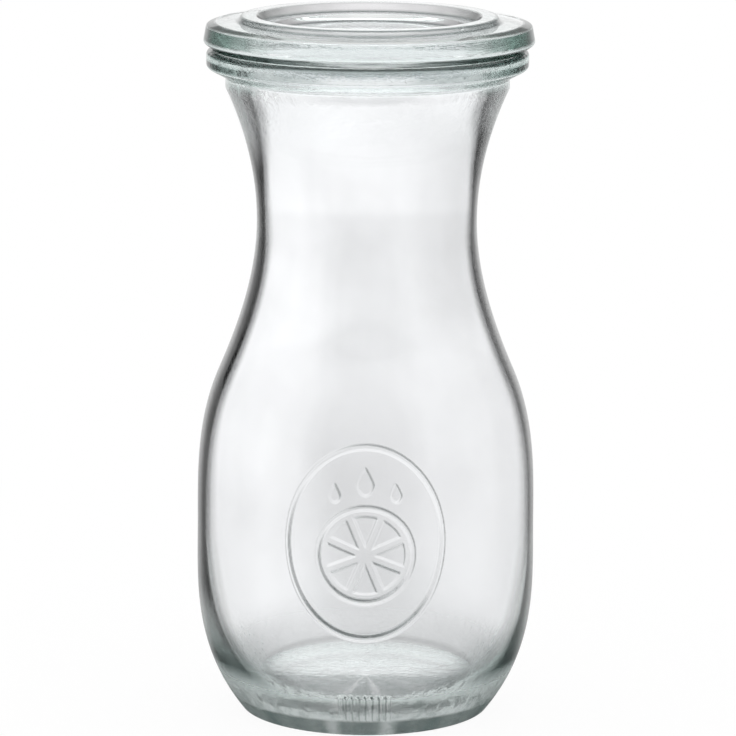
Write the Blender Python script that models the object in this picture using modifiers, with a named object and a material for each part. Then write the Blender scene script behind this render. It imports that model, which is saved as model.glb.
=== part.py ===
# A pressed-glass juice bottle with a loose glass lid that rests on its rim.
# Units are metres and +Z is up. The origin is the centre of the base, on the surface it stands on.
# A flare is the radius gained for each unit of height, so it has no length of its own.

import math

import bpy

# How finely the round shapes are turned
TURN_STEPS = 48
ROUND_STEPS = 2
HEEL_STEPS = 9
INNER_HEEL_STEPS = 11
SHOULDER_STEPS = 7
WAIST_STEPS = 7
NECK_STEPS = 8
THROAT_STEPS = 5
MOUTH_STEPS = 3
FLOOR_STEPS = 2
MERGE_DISTANCE = 0.0001

# Outside of the body, from the base up: each rise is measured from the station below
HEEL_RADIUS = 0.0247
HEEL_FLARE_SHARE = 0.80
BELLY_RADIUS = 0.03375
BELLY_RISE = 0.0389
SHOULDER_RADIUS = 0.02945
SHOULDER_RISE = 0.0302
SHOULDER_FLARE_SHARE = -0.435
WAIST_RADIUS = 0.02187
WAIST_RISE = 0.0302
NECK_RADIUS = 0.0281
NECK_RISE = 0.0266
NECK_FLARE_SHARE = 0.46
COLLAR_DEPTH = 0.0021

# Bead rim that the lid rests on
RIM_RADIUS = 0.03185
RIM_CONE_RISE = 0.0020
RIM_DEPTH = 0.0032
RIM_ROUND = 0.0009
MOUTH_RADIUS = 0.0248
LIP_ROUND = 0.0009

# Glass thickness, measured level at each station
HEEL_WALL = 0.0061
BELLY_WALL = 0.0011
SHOULDER_WALL = 0.0012
WAIST_WALL = 0.0013
THROAT_WALL = 0.0049
THROAT_FLARE_SHARE = 0.20
THROAT_DROP = 0.0029
BORE_WAIST_DROP = 0.0020
MOUTH_SKIRT_DROP = 0.0050
FLOOR_PULL_SHARE = 0.42
WALL_PULL_SHARE = 0.82

# Base
FLOOR_HEIGHT = 0.0048
FLOOR_DISH = 0.0004
BEARING_WIDTH = 0.0040
BEARING_ROUND = 0.0008
PUNT_RISE = 0.0012

# Lid, measured up or down from the plane of its seat
SEAT_GAP = 0.0003
LID_OVERHANG = 0.0009
FLANGE_THICKNESS = 0.0050
FLANGE_LEAN = 0.0006
FLANGE_EDGE_ROUND = 0.0006
FLANGE_CHAMFER_WIDTH = 0.0018
FLANGE_CHAMFER_RISE = 0.0014
FLANGE_TOP_WIDTH = 0.0062
RING_FOOT_WIDTH = 0.0006
RING_RISE = 0.0015
RING_WIDTH = 0.0031
RING_ROUND = 0.0006
DISH_STEP_DROP = 0.0019
DISH_STEP_WIDTH = 0.0022
DISH_SLOPE_WIDTH = 0.0010
DISH_FLOOR_DROP = 0.0015
LID_CENTRE_THICKNESS = 0.0032
PLUG_CLEARANCE = 0.0008
PLUG_TAPER = 0.0006
PLUG_DROP = 0.0033
PLUG_WALL = 0.0024
PLUG_ROUND = 0.0006

# Derived heights and radii
belly_height = BELLY_RISE
shoulder_height = belly_height + SHOULDER_RISE
waist_height = shoulder_height + WAIST_RISE
neck_height = waist_height + NECK_RISE
collar_height = neck_height + COLLAR_DEPTH
rim_low_height = collar_height + RIM_CONE_RISE
rim_top_height = rim_low_height + RIM_DEPTH
lid_seat_height = rim_top_height + SEAT_GAP
bearing_inner_radius = HEEL_RADIUS - BEARING_WIDTH
floor_radius = HEEL_RADIUS - HEEL_WALL
lid_radius = RIM_RADIUS + LID_OVERHANG
plug_radius = MOUTH_RADIUS - PLUG_CLEARANCE

GLASS_COLOUR = (0.86, 0.93, 0.89, 1.0)
GLASS_ROUGHNESS = 0.03
GLASS_METALLIC = 0.0
GLASS_IOR = 1.52
GLASS_TRANSMISSION = 1.0

# A rounding may take this much of the straight on each side of its corner
ROUND_LIMIT_SHARE = 0.45


def new_collection(name):
    collection = bpy.data.collections.new(name)
    bpy.context.scene.collection.children.link(collection)
    return collection


def glass_material(name):
    material = bpy.data.materials.new(name)
    material.use_nodes = True
    material.diffuse_color = GLASS_COLOUR
    shader = material.node_tree.nodes["Principled BSDF"]
    shader.inputs["Base Color"].default_value = GLASS_COLOUR
    shader.inputs["Roughness"].default_value = GLASS_ROUGHNESS
    shader.inputs["Metallic"].default_value = GLASS_METALLIC
    shader.inputs["IOR"].default_value = GLASS_IOR
    shader.inputs["Transmission Weight"].default_value = GLASS_TRANSMISSION
    return material


def flowing_run(lower, lower_flare, upper, upper_flare, steps):
    # Points from the lower station up to, but not at, the upper one, on a cubic with those flares
    lower_radius, lower_height = lower
    upper_radius, upper_height = upper
    rise = upper_height - lower_height
    points = []
    for step in range(steps):
        t = step / steps
        radius = (
            (2 * t**3 - 3 * t**2 + 1) * lower_radius
            + (t**3 - 2 * t**2 + t) * rise * lower_flare
            + (3 * t**2 - 2 * t**3) * upper_radius
            + (t**3 - t**2) * rise * upper_flare
        )
        points.append((radius, lower_height + t * rise))
    return points


def rounded_inner_heel(edge, wall, steps):
    # A quarter bend that leaves the floor level and meets the wall upright
    edge_radius, edge_height = edge
    wall_radius, wall_height = wall
    floor_pull = edge_radius + (wall_radius - edge_radius) * FLOOR_PULL_SHARE
    wall_pull = wall_height - (wall_height - edge_height) * WALL_PULL_SHARE
    points = []
    for step in range(steps):
        t = step / steps
        weights = ((1 - t) ** 3, 3 * t * (1 - t) ** 2, 3 * t**2 * (1 - t), t**3)
        radii = (edge_radius, floor_pull, wall_radius, wall_radius)
        heights = (edge_height, edge_height, wall_pull, wall_height)
        radius = sum(weight * value for weight, value in zip(weights, radii))
        height = sum(weight * value for weight, value in zip(weights, heights))
        points.append((radius, height))
    return points


def shallow_dome(radius, edge_height, centre_height, steps):
    # Points from the edge in to the axis, where the last one lies
    points = []
    for step in range(steps + 1):
        share = 1 - step / steps
        height = centre_height + (edge_height - centre_height) * share**2
        points.append((radius * share, height))
    return points


def rounded_corners(corners, steps=ROUND_STEPS):
    # Each corner is (radius, height, rounding); a corner with no rounding stays sharp
    points = []
    for index, (radius, height, rounding) in enumerate(corners):
        if rounding == 0 or index in (0, len(corners) - 1):
            points.append((radius, height))
            continue
        before = corners[index - 1]
        after = corners[index + 1]
        length_in = math.hypot(before[0] - radius, before[1] - height)
        length_out = math.hypot(after[0] - radius, after[1] - height)
        way_in = ((before[0] - radius) / length_in, (before[1] - height) / length_in)
        way_out = ((after[0] - radius) / length_out, (after[1] - height) / length_out)
        opening = math.acos(max(-1, min(1, way_in[0] * way_out[0] + way_in[1] * way_out[1])))
        reach = rounding / math.tan(opening / 2)
        reach = min(reach, ROUND_LIMIT_SHARE * length_in, ROUND_LIMIT_SHARE * length_out)
        arc_radius = reach * math.tan(opening / 2)
        middle = (way_in[0] + way_out[0], way_in[1] + way_out[1])
        middle_length = math.hypot(*middle)
        centre_distance = math.hypot(reach, arc_radius)
        centre = (
            radius + middle[0] / middle_length * centre_distance,
            height + middle[1] / middle_length * centre_distance,
        )
        start = (radius + way_in[0] * reach - centre[0], height + way_in[1] * reach - centre[1])
        end = (radius + way_out[0] * reach - centre[0], height + way_out[1] * reach - centre[1])
        start_angle = math.atan2(start[1], start[0])
        turn = math.atan2(end[1], end[0]) - start_angle
        turn = (turn + math.pi) % (2 * math.pi) - math.pi
        for step in range(steps + 1):
            angle = start_angle + turn * step / steps
            points.append((
                centre[0] + arc_radius * math.cos(angle),
                centre[1] + arc_radius * math.sin(angle),
            ))
    return points


def turned_solid(name, profile, material, collection):
    # The profile starts and ends on the axis and runs down the outside of the solid
    mesh = bpy.data.meshes.new(name)
    vertices = [(radius, 0, height) for radius, height in profile]
    edges = [(index, index + 1) for index in range(len(profile) - 1)]
    mesh.from_pydata(vertices, edges, [])
    mesh.materials.append(material)
    solid = bpy.data.objects.new(name, mesh)
    collection.objects.link(solid)
    turning = solid.modifiers.new("Turning", "SCREW")
    turning.axis = "Z"
    turning.angle = 2 * math.pi
    turning.steps = TURN_STEPS
    turning.render_steps = TURN_STEPS
    turning.use_merge_vertices = True
    turning.merge_threshold = MERGE_DISTANCE
    turning.use_smooth_shade = True
    return solid


def bottle_inside():
    # From the centre of the floor up the inner wall to below the mouth
    belly = (BELLY_RADIUS - BELLY_WALL, belly_height)
    shoulder = (SHOULDER_RADIUS - SHOULDER_WALL, shoulder_height)
    waist = (WAIST_RADIUS - WAIST_WALL, waist_height - BORE_WAIST_DROP)
    throat = (NECK_RADIUS - THROAT_WALL, neck_height - THROAT_DROP)
    mouth_foot = (MOUTH_RADIUS, rim_top_height - MOUTH_SKIRT_DROP)
    floor_edge = (floor_radius, FLOOR_HEIGHT)
    floor_centre_height = FLOOR_HEIGHT - FLOOR_DISH
    points = list(reversed(shallow_dome(floor_radius, FLOOR_HEIGHT, floor_centre_height, FLOOR_STEPS)))[:-1]
    points += rounded_inner_heel(floor_edge, belly, INNER_HEEL_STEPS)
    points += flowing_run(belly, 0, shoulder, SHOULDER_FLARE_SHARE, SHOULDER_STEPS)
    points += flowing_run(shoulder, SHOULDER_FLARE_SHARE, waist, 0, WAIST_STEPS)
    points += flowing_run(waist, 0, throat, THROAT_FLARE_SHARE, THROAT_STEPS)
    points += flowing_run(throat, THROAT_FLARE_SHARE, mouth_foot, 0, MOUTH_STEPS)
    points.append(mouth_foot)
    return points


def bottle_rim():
    # Over the lip, across the seat, down the bead and in to the collar under it
    mouth_foot = (MOUTH_RADIUS, rim_top_height - MOUTH_SKIRT_DROP, 0)
    corners = [
        mouth_foot,
        (MOUTH_RADIUS, rim_top_height, LIP_ROUND),
        (RIM_RADIUS, rim_top_height, RIM_ROUND),
        (RIM_RADIUS, rim_low_height, RIM_ROUND),
        (NECK_RADIUS, collar_height, RIM_ROUND),
        (NECK_RADIUS, neck_height, 0),
    ]
    return rounded_corners(corners)[1:-1]


def bottle_outside():
    # From the foot of the collar down the body to the base and its centre
    neck = (NECK_RADIUS, neck_height)
    waist = (WAIST_RADIUS, waist_height)
    shoulder = (SHOULDER_RADIUS, shoulder_height)
    belly = (BELLY_RADIUS, belly_height)
    heel = (HEEL_RADIUS, 0)
    upward = flowing_run(heel, HEEL_FLARE_SHARE, belly, 0, HEEL_STEPS)
    upward += flowing_run(belly, 0, shoulder, SHOULDER_FLARE_SHARE, SHOULDER_STEPS)
    upward += flowing_run(shoulder, SHOULDER_FLARE_SHARE, waist, 0, WAIST_STEPS)
    upward += flowing_run(waist, 0, neck, NECK_FLARE_SHARE, NECK_STEPS)
    downward = [neck] + list(reversed(upward))
    above_heel = downward[-2]
    punt = shallow_dome(bearing_inner_radius, 0, PUNT_RISE, FLOOR_STEPS + 1)
    base_corners = [
        (*above_heel, 0),
        (*heel, BEARING_ROUND),
        (bearing_inner_radius, 0, 0),
    ]
    return downward[:-2] + rounded_corners(base_corners) + punt[1:]


def lid_profile():
    # From the centre of the dish over the raised ring and flange to the centre of the underside
    flange_top_radius = lid_radius - FLANGE_LEAN
    ring_foot_radius = flange_top_radius - FLANGE_TOP_WIDTH
    ring_radius = ring_foot_radius - RING_FOOT_WIDTH
    ring_height = FLANGE_THICKNESS + RING_RISE
    ring_inner_radius = ring_radius - RING_WIDTH
    step_height = ring_height - DISH_STEP_DROP
    step_radius = ring_inner_radius - DISH_SLOPE_WIDTH
    step_inner_radius = step_radius - DISH_STEP_WIDTH
    dish_height = step_height - DISH_FLOOR_DROP
    dish_radius = step_inner_radius - DISH_SLOPE_WIDTH
    underside_height = dish_height - LID_CENTRE_THICKNESS
    plug_low_radius = plug_radius - PLUG_TAPER
    plug_bore_radius = plug_low_radius - PLUG_WALL
    plug_root_radius = plug_bore_radius - PLUG_TAPER
    corners = [
        (0, dish_height, 0),
        (dish_radius, dish_height, RING_ROUND),
        (step_inner_radius, step_height, RING_ROUND),
        (step_radius, step_height, RING_ROUND),
        (ring_inner_radius, ring_height, RING_ROUND),
        (ring_radius, ring_height, RING_ROUND),
        (ring_foot_radius, FLANGE_THICKNESS, RING_ROUND),
        (flange_top_radius, FLANGE_THICKNESS, FLANGE_EDGE_ROUND),
        (lid_radius, FLANGE_CHAMFER_RISE, FLANGE_EDGE_ROUND),
        (lid_radius - FLANGE_CHAMFER_WIDTH, 0, FLANGE_EDGE_ROUND),
        (plug_radius, 0, PLUG_ROUND),
        (plug_low_radius, -PLUG_DROP, PLUG_ROUND),
        (plug_bore_radius, -PLUG_DROP, PLUG_ROUND),
        (plug_root_radius, underside_height, PLUG_ROUND),
        (0, underside_height, 0),
    ]
    return rounded_corners(corners)


def make_bottle(collection):
    profile = bottle_inside() + bottle_rim() + bottle_outside()
    return turned_solid("bottle", profile, glass_material("bottle_glass"), collection)


def make_lid(collection):
    lid = turned_solid("lid", lid_profile(), glass_material("lid_glass"), collection)
    lid.location = (0, 0, lid_seat_height)
    return lid


for leftover in list(bpy.data.objects):
    bpy.data.objects.remove(leftover, do_unlink=True)

parts = new_collection("juice_bottle")
make_bottle(parts)
make_lid(parts)
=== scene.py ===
# Juice bottle in clear pressed glass, with its loose glass lid resting on the rim.
# Metres throughout, +Z up, the bottle stands on z = 0 and faces the camera along -Y.

import math

import bpy
import numpy as np
from mathutils import Matrix, Vector


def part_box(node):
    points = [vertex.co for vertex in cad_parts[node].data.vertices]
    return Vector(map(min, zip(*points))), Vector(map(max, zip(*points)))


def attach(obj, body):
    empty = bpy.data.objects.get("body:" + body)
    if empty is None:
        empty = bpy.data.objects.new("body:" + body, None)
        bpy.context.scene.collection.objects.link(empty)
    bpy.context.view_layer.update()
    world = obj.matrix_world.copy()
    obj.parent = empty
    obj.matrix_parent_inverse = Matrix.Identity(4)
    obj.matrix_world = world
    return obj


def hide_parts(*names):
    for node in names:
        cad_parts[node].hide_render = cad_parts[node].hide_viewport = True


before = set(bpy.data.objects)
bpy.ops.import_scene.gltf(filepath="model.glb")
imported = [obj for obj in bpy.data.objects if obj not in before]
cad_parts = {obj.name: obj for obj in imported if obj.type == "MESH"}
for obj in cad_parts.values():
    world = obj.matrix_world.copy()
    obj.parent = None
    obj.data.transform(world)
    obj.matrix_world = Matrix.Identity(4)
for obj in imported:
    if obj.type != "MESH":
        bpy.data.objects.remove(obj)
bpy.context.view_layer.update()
print("frame loaded:", sorted(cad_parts))

mm = 0.001

# The photograph's eye point

eye = {
    "distance": 0.900,
    "elevation": 11.314,
    "aimHeight": 69.14 * mm,
    "aimAside": 0.36 * mm,
    "lens": 220.1,
    "sensor": 36,
    "nearest": 0.01,
    "roll": 0.281,
}


# Glass: clear, a little green where it is thick, with the faint waves of a pressed surface

glass = {
    "ior": 1.52,
    "tint": (0.58, 0.70, 0.68, 1),
    "density": 8.0,  # for each metre of glass
    "cast": (0.988, 0.992, 1.0),  # a cool cast on what passes through
    "greener": (0.14, 0.0, 0.03),  # how much greener rim and heel are where they are dark
    # patterns are given by how fine they are and how many finer layers they have
    "clouds": (40.0, 3),
    "cloudDepth": 0.045,  # how much the light that passes varies from place to place
    "cloudEdges": (0.42, 0.68),
    "mottles": (420.0, 4),
    "mottle": [(0.0, 0.5), (0.38, 0.58), (0.48, 0.86), (0.56, 1.0), (1.0, 1.0)],  # painted shade, uneven, in the heavy base
    "waves": (55.0, 2),
    "waveDepth": 0.02 * mm,
    "stipples": (480.0, 3),
    "stippleDepth": 0.34 * mm,
    "streaks": (1.0, 2),
    "streakStretch": (70.0, 70.0, 800.0),  # they are long round the piece and narrow in height
    "streakDepth": 0.03 * mm,
    "roughness": 0.5,  # where the surface is coarsest
    "lastReflection": 4,  # painted light: past so many reflections the glass glows at lastLevel, in place of the light still inside
}


def placed(name, data):
    # a new object in the scene
    thing = bpy.data.objects.new(name, data)
    bpy.context.scene.collection.objects.link(thing)
    return thing


# Profiles: lists of (radius, height) that run from the axis to the axis

def flowRun(lower, lowerFlare, upper, upperFlare, steps):
    # a cubic from the lower station up to just before the upper one
    rise = upper[1] - lower[1]
    points = []
    for step in range(steps):
        t = step / steps
        radius = (
            (2 * t**3 - 3 * t**2 + 1) * lower[0]
            + (t**3 - 2 * t**2 + t) * rise * lowerFlare
            + (3 * t**2 - 2 * t**3) * upper[0]
            + (t**3 - t**2) * rise * upperFlare
        )
        points.append((radius, lower[1] + t * rise))
    return points


def quarterBend(edge, wall, floorPull, wallPull, steps):
    # leaves the floor level and meets the wall upright
    radii = (edge[0], edge[0] + (wall[0] - edge[0]) * floorPull, wall[0], wall[0])
    heights = (edge[1], edge[1], wall[1] - (wall[1] - edge[1]) * wallPull, wall[1])
    points = []
    for step in range(steps):
        t = step / steps
        weights = ((1 - t) ** 3, 3 * t * (1 - t) ** 2, 3 * t**2 * (1 - t), t**3)
        radius = sum(w * v for w, v in zip(weights, radii))
        height = sum(w * v for w, v in zip(weights, heights))
        points.append((radius, height))
    return points


def dome(radius, edgeHeight, centreHeight, steps):
    # from the edge in to the axis
    points = []
    for step in range(steps + 1):
        share = 1 - step / steps
        points.append((radius * share, centreHeight + (edgeHeight - centreHeight) * share**2))
    return points


def softCorners(corners, steps=6, longest=0.45):
    # every corner is (radius, height, rounding) and turns on an arc, which takes up at most
    # the longest share of the stretch to each side
    points = []
    for index, (radius, height, rounding) in enumerate(corners):
        if rounding == 0 or index in (0, len(corners) - 1):
            points.append((radius, height))
            continue
        here = Vector((radius, height))
        wayIn = Vector(corners[index - 1][:2]) - here
        wayOut = Vector(corners[index + 1][:2]) - here
        opening = wayIn.angle(wayOut)
        reach = min(rounding / math.tan(opening / 2), wayIn.length * longest, wayOut.length * longest)
        bow = reach * math.tan(opening / 2)
        middle = (wayIn.normalized() + wayOut.normalized()).normalized()
        centre = here + middle * math.hypot(reach, bow)
        start = here + wayIn.normalized() * reach - centre
        end = here + wayOut.normalized() * reach - centre
        startAngle = math.atan2(start.y, start.x)
        turn = (math.atan2(end.y, end.x) - startAngle + math.pi) % (2 * math.pi) - math.pi
        for step in range(steps + 1):
            angle = startAngle + turn * step / steps
            points.append((centre.x + bow * math.cos(angle), centre.y + bow * math.sin(angle)))
    return points


def filledIn(points, longest):
    # splits every stretch that is longer than allowed, so that shading and relief stay even
    dense = [points[0]]
    for (r0, z0), (r1, z1) in zip(points, points[1:]):
        allowed = longest((z0 + z1) / 2)
        pieces = max(1, math.ceil(math.hypot(r1 - r0, z1 - z0) / allowed))
        for piece in range(1, pieces + 1):
            t = piece / pieces
            dense.append((r0 + (r1 - r0) * t, z0 + (z1 - z0) * t))
    return dense


def turnedMesh(name, profile, angles, shape=None):
    # rings of points about +Z, closed at the axis by one point at each end; shape may move
    # the points: it gets their x, y and z, the rings as (radius, height), and the angles
    inner = np.array(profile[1:-1])
    angles = np.asarray(angles)
    radii = np.repeat(inner[:, :1], len(angles), axis=1)
    heights = np.repeat(inner[:, 1:], len(angles), axis=1)
    x = radii * np.sin(angles)
    y = -radii * np.cos(angles)
    z = heights
    if shape is not None:
        x, y, z = shape(x, y, z, inner, angles)
    skin = np.stack([x, y, z], axis=-1).reshape(-1, 3)
    ends = np.array([[0, 0, profile[0][1]], [0, 0, profile[-1][1]]])
    points = np.vstack([skin, ends])
    rows, columns = radii.shape
    index = np.arange(rows * columns).reshape(rows, columns)
    right = np.roll(index, -1, axis=1)
    quads = np.stack([index[:-1], index[1:], right[1:], right[:-1]], axis=-1).reshape(-1, 4)
    first, last = rows * columns, rows * columns + 1
    faces = quads.tolist()
    faces += [(first, int(a), int(b)) for a, b in zip(index[0], right[0])]
    faces += [(last, int(b), int(a)) for a, b in zip(index[-1], right[-1])]
    mesh = bpy.data.meshes.new(name)
    mesh.from_pydata(points.tolist(), [], faces)
    mesh.shade_smooth()
    mesh.update()
    return placed(name, mesh)


# Raised picture on the front of the belly: an oval frame round a slice of fruit, with drops

emblem = {
    "height": 41 * mm,  # of its centre
    "halfWidth": 15.6 * mm,
    "halfHeight": 19.0 * mm,
    "relief": 0.45 * mm,
    "line": 0.42 * mm,  # the width of the frame's line, on its top
    "sliceRadius": 9.4 * mm,
    "sliceDrop": 2.2 * mm,
    "rind": 0.45 * mm,
    "pulpInner": 1.5 * mm,
    "pulpOuter": 7.9 * mm,
    "pulpGap": 0.55 * mm,
    "segments": 8,
    "pulpRelief": 0.34 * mm,
    "edge": 0.40 * mm,
    "margin": 1.5 * mm,  # the skin is finely divided this far above and below it
    "reach": 0.5,  # and it lies within this turn to each side, in radians
    "edgeShade": 0.75,  # how dark the painted shade on the edges that face away from the light is
    "edgeFalls": (0.15, 0.85),  # from this slope, and fully from this one
    # drops: across, up, size; then their width, and where they start to narrow, over what
    # length and down to what, as shares of the size
    "drops": [(0, 12.3 * mm, 3.0 * mm), (-6.0 * mm, 10.0 * mm, 2.1 * mm), (6.0 * mm, 10.0 * mm, 2.1 * mm)],
    "dropWidth": 0.62,
    "dropNarrows": (-0.2, 1.5, 0.12),
}


def ease(t):
    t = np.clip(t, 0, 1)
    return t * t * (3 - 2 * t)


def emblemRelief(across, up):
    # how far the glass stands proud, at a place measured from the emblem's centre
    e = emblem
    frameDistance = (np.hypot(across / e["halfWidth"], up / e["halfHeight"]) - 1) * e["halfWidth"]
    raised = e["relief"] * ease(1 - (np.abs(frameDistance) - e["line"] / 2) / e["edge"])
    down = up + e["sliceDrop"]
    reach = np.hypot(across, down)
    rind = e["relief"] * ease(1 - (np.abs(reach - e["sliceRadius"]) - e["rind"] / 2) / e["edge"])
    sector = 2 * math.pi / e["segments"]
    bearing = np.arctan2(across, down) + sector / 2
    fromMiddle = np.abs((bearing % sector) - sector / 2)
    sideRoom = (sector / 2 - fromMiddle) * reach - e["pulpGap"]
    room = np.minimum(np.minimum(reach - e["pulpInner"], e["pulpOuter"] - reach), sideRoom)
    pulp = e["pulpRelief"] * ease(room / e["edge"])
    raised = np.maximum(raised, np.maximum(rind, pulp))
    starts, length, tip = e["dropNarrows"]
    for dropAcross, dropUp, size in e["drops"]:
        dx = across - dropAcross
        dy = up - dropUp
        taper = np.clip(1 - (dy - size * starts) / (size * length), tip, 1)
        drop = size * e["dropWidth"] - np.hypot(dx / taper, dy * e["dropWidth"])
        raised = np.maximum(raised, e["relief"] * ease(drop / e["edge"]))
    return raised


# Bottle: sizes in metres, heights from the base

bottle = {
    "heelRadius": 24.7 * mm,
    "heelFlare": 0.80,
    "bellyRadius": 33.75 * mm,
    "bellyHeight": 38.9 * mm,
    "shoulderRadius": 29.45 * mm,
    "shoulderHeight": 69.1 * mm,
    "shoulderFlare": -0.435,
    "waistRadius": 21.87 * mm,
    "waistHeight": 99.3 * mm,
    "neckRadius": 28.1 * mm,
    "neckHeight": 125.9 * mm,
    "neckFlare": 0.46,
    "collarHeight": 128.0 * mm,
    "rimRadius": 31.85 * mm,
    "rimLowHeight": 130.0 * mm,
    "rimTopHeight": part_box("bottle")[1].z,
    "rimRound": 0.9 * mm,
    "mouthRadius": 24.8 * mm,
    "mouthSkirt": 5.0 * mm,
    "lipRound": 0.9 * mm,
    "floorRadius": 18.6 * mm,
    "floorHeight": 4.8 * mm,
    "floorDish": 0.4 * mm,
    "floorPull": 0.42,
    "wallPull": 0.82,
    "bellyWall": 1.1 * mm,
    "shoulderWall": 1.2 * mm,
    "waistWall": 1.3 * mm,
    "boreWaistHeight": 97.3 * mm,
    "throatRadius": 23.2 * mm,
    "throatHeight": 123.0 * mm,
    "throatFlare": 0.20,
    "bearingInner": 20.7 * mm,
    "bearingRound": 0.8 * mm,
    "punt": 1.2 * mm,
    "boreShift": 0.3 * mm,  # the bore stands this far off the axis, so one wall is thicker
    "boreFade": 8.0 * mm,  # and comes back to the axis over this height, below the mouth
    "spacing": {"emblem": 0.22 * mm, "heel": 0.4 * mm, "plain": 1.2 * mm},  # of the skin's rings
    "columns": {"halfFront": 28, "front": 171, "back": 182},  # half the front in degrees, then counts
    # how many steps each stretch of the profile has, from the base up
    "insideSteps": {"floor": 12, "belly": 40, "shoulder": 26, "waist": 26, "throat": 20, "mouth": 8},
    "outsideSteps": {"punt": 12, "belly": 60, "shoulder": 40, "waist": 30, "neck": 26},
    "thickFrom": 1.9 * mm,  # walls count as thin below this and as thick above the next
    "thickTo": 3.2 * mm,
    # how much sooner the painted dark line of the inner wall's edge shows: height, then the turn on the
    # left and the right
    "lineShift": [
        (10.0 * mm, -0.15, -0.03), (14.0 * mm, -0.10, -0.02), (18.0 * mm, -0.08, -0.01),
        (22.0 * mm, -0.05, 0.01), (30.0 * mm, -0.02, 0.01), (38.0 * mm, 0.0, 0.0),
        (104.0 * mm, 0.0, 0.0), (112.0 * mm, -0.04, -0.04),
    ],
    "softRight": 0.22,  # how much of the thick wall's softer painted dark line the right side shows
    "softRightFade": 0.5,
    "seatInner": 29.3 * mm,
    # where the marks for the material set in and how softly
    "wallLow": 6.0 * mm,
    "wallFade": 6.0 * mm,
    "collarFade": 0.8 * mm,
    "heelEdgeTop": 24.0 * mm,
    "heelEdgeFade": 12.0 * mm,
    "mottleTop": 10.0 * mm,
    "mottleFade": 5.0 * mm,
    "frontHalf": (-0.35, 0.3),  # cosine of the bearing where the front half starts, and its fade
    "rimEdgeReach": 1.35 * mm,  # how far below its top the rim's corner counts
    "rimDepth": 0.5 * mm,
    "rimSideFade": (0.5 * mm, 0.3 * mm),  # at its lower and at its upper end
    "rimUnderReach": (0.3 * mm, 0.2 * mm),  # below the collar's corner and above the rim's
    "rimUnderFade": 0.4 * mm,
    "streakedFade": 3.0 * mm,
    "greenerFade": 2.0 * mm,
    "greenerHeel": 0.5,
    # painted shade in the heavy base: its heel, its foot's dark line, the inner floor and a line near its
    # edge
    "paintedShade": {
        "heel": 0.42, "heelTop": 13.5 * mm, "heelFade": 10.0 * mm,
        "side": 0.45, "sideFrom": 36, "sideTo": 62,  # more of it towards the sides, in degrees
        "foot": 1.0, "footTop": 4.4 * mm, "footFade": 1.2 * mm,
        "gaps": (-14, 10), "gapReach": 5, "gapDepth": 0.28,  # lighter places in it, in degrees
        "floor": 0.10, "floorTop": 5.6 * mm, "floorFade": 0.8 * mm,
        "line": 0.5, "lineHeight": 5.3 * mm, "lineReach": 0.7 * mm,
        "back": 0.6, "backFrom": 70, "backFade": 60,  # so much less of it round the back
        # how often the foot's line swells round the bottle, from where, and how much
        "ripples": ((7, 0.6), (17, 2)), "ripple": 0.07,
    },
    "underReach": 0.05 * mm,  # the underside counts to this far above the punt
    "pressed": {
        "under": 0.5,
        "heel": 0.76, "heelTop": 14.0 * mm, "heelFade": 8.0 * mm,
        "floor": 0.25, "floorTop": 8.5 * mm, "floorFade": 3.5 * mm,
    },
    "stippled": {
        "under": 1.0,
        "heel": 1.3, "heelTop": 14.0 * mm, "heelFade": 7.0 * mm,
        "floor": 0.6, "floorTop": 10.0 * mm, "floorFade": 5.0 * mm,
        "neck": 0.5, "neckLow": 114 * mm, "neckFade": 9 * mm,
    },
    # painted reflection: soft grey patches, where the front mirrors the dark parts of the room: how much
    # the middle is dimmed, where the middle is (degrees to the right), its reach, and the heights
    "shades": [
        {"dim": 0.17, "middle": 0, "reach": 34, "low": 6 * mm, "high": 78 * mm, "fade": 26 * mm},
        {"dim": 0.16, "middle": 52, "reach": 44, "low": 4 * mm, "high": 84 * mm, "fade": 14 * mm},
        {"dim": 0.34, "middle": 50, "reach": 42, "low": 74 * mm, "high": 127 * mm, "fade": 12 * mm},
        {"dim": 0.10, "middle": -52, "reach": 36, "low": 4 * mm, "high": 60 * mm, "fade": 14 * mm},
    ],
    # a row of short upright ribs low on the front, such as moulds leave there
    "ribs": {
        "low": 3.2 * mm, "high": 9.6 * mm, "halfSpan": 5.2 * mm, "pitch": 1.3 * mm, "relief": 0.42 * mm,
        "endFade": 0.6 * mm, "sideFade": 0.3 * mm, "valley": 0.35, "rise": 0.5,
    },
}


def bottleInside():
    b = bottle
    belly = (b["bellyRadius"] - b["bellyWall"], b["bellyHeight"])
    shoulder = (b["shoulderRadius"] - b["shoulderWall"], b["shoulderHeight"])
    waist = (b["waistRadius"] - b["waistWall"], b["boreWaistHeight"])
    throat = (b["throatRadius"], b["throatHeight"])
    mouthFoot = (b["mouthRadius"], b["rimTopHeight"] - b["mouthSkirt"])
    floorEdge = (b["floorRadius"], b["floorHeight"])
    steps = b["insideSteps"]
    floor = dome(b["floorRadius"], b["floorHeight"], b["floorHeight"] - b["floorDish"], steps["floor"])
    points = list(reversed(floor))[:-1]
    points += quarterBend(floorEdge, belly, b["floorPull"], b["wallPull"], steps["belly"])
    points += flowRun(belly, 0, shoulder, b["shoulderFlare"], steps["shoulder"])
    points += flowRun(shoulder, b["shoulderFlare"], waist, 0, steps["waist"])
    points += flowRun(waist, 0, throat, b["throatFlare"], steps["throat"])
    points += flowRun(throat, b["throatFlare"], mouthFoot, 0, steps["mouth"])
    points.append(mouthFoot)
    return points


def bottleRim():
    b = bottle
    corners = [
        (b["mouthRadius"], b["rimTopHeight"] - b["mouthSkirt"], 0),
        (b["mouthRadius"], b["rimTopHeight"], b["lipRound"]),
        (b["rimRadius"], b["rimTopHeight"], b["rimRound"]),
        (b["rimRadius"], b["rimLowHeight"], b["rimRound"]),
        (b["neckRadius"], b["collarHeight"], b["rimRound"]),
        (b["neckRadius"], b["neckHeight"], 0),
    ]
    return softCorners(corners)[1:-1]


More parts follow.
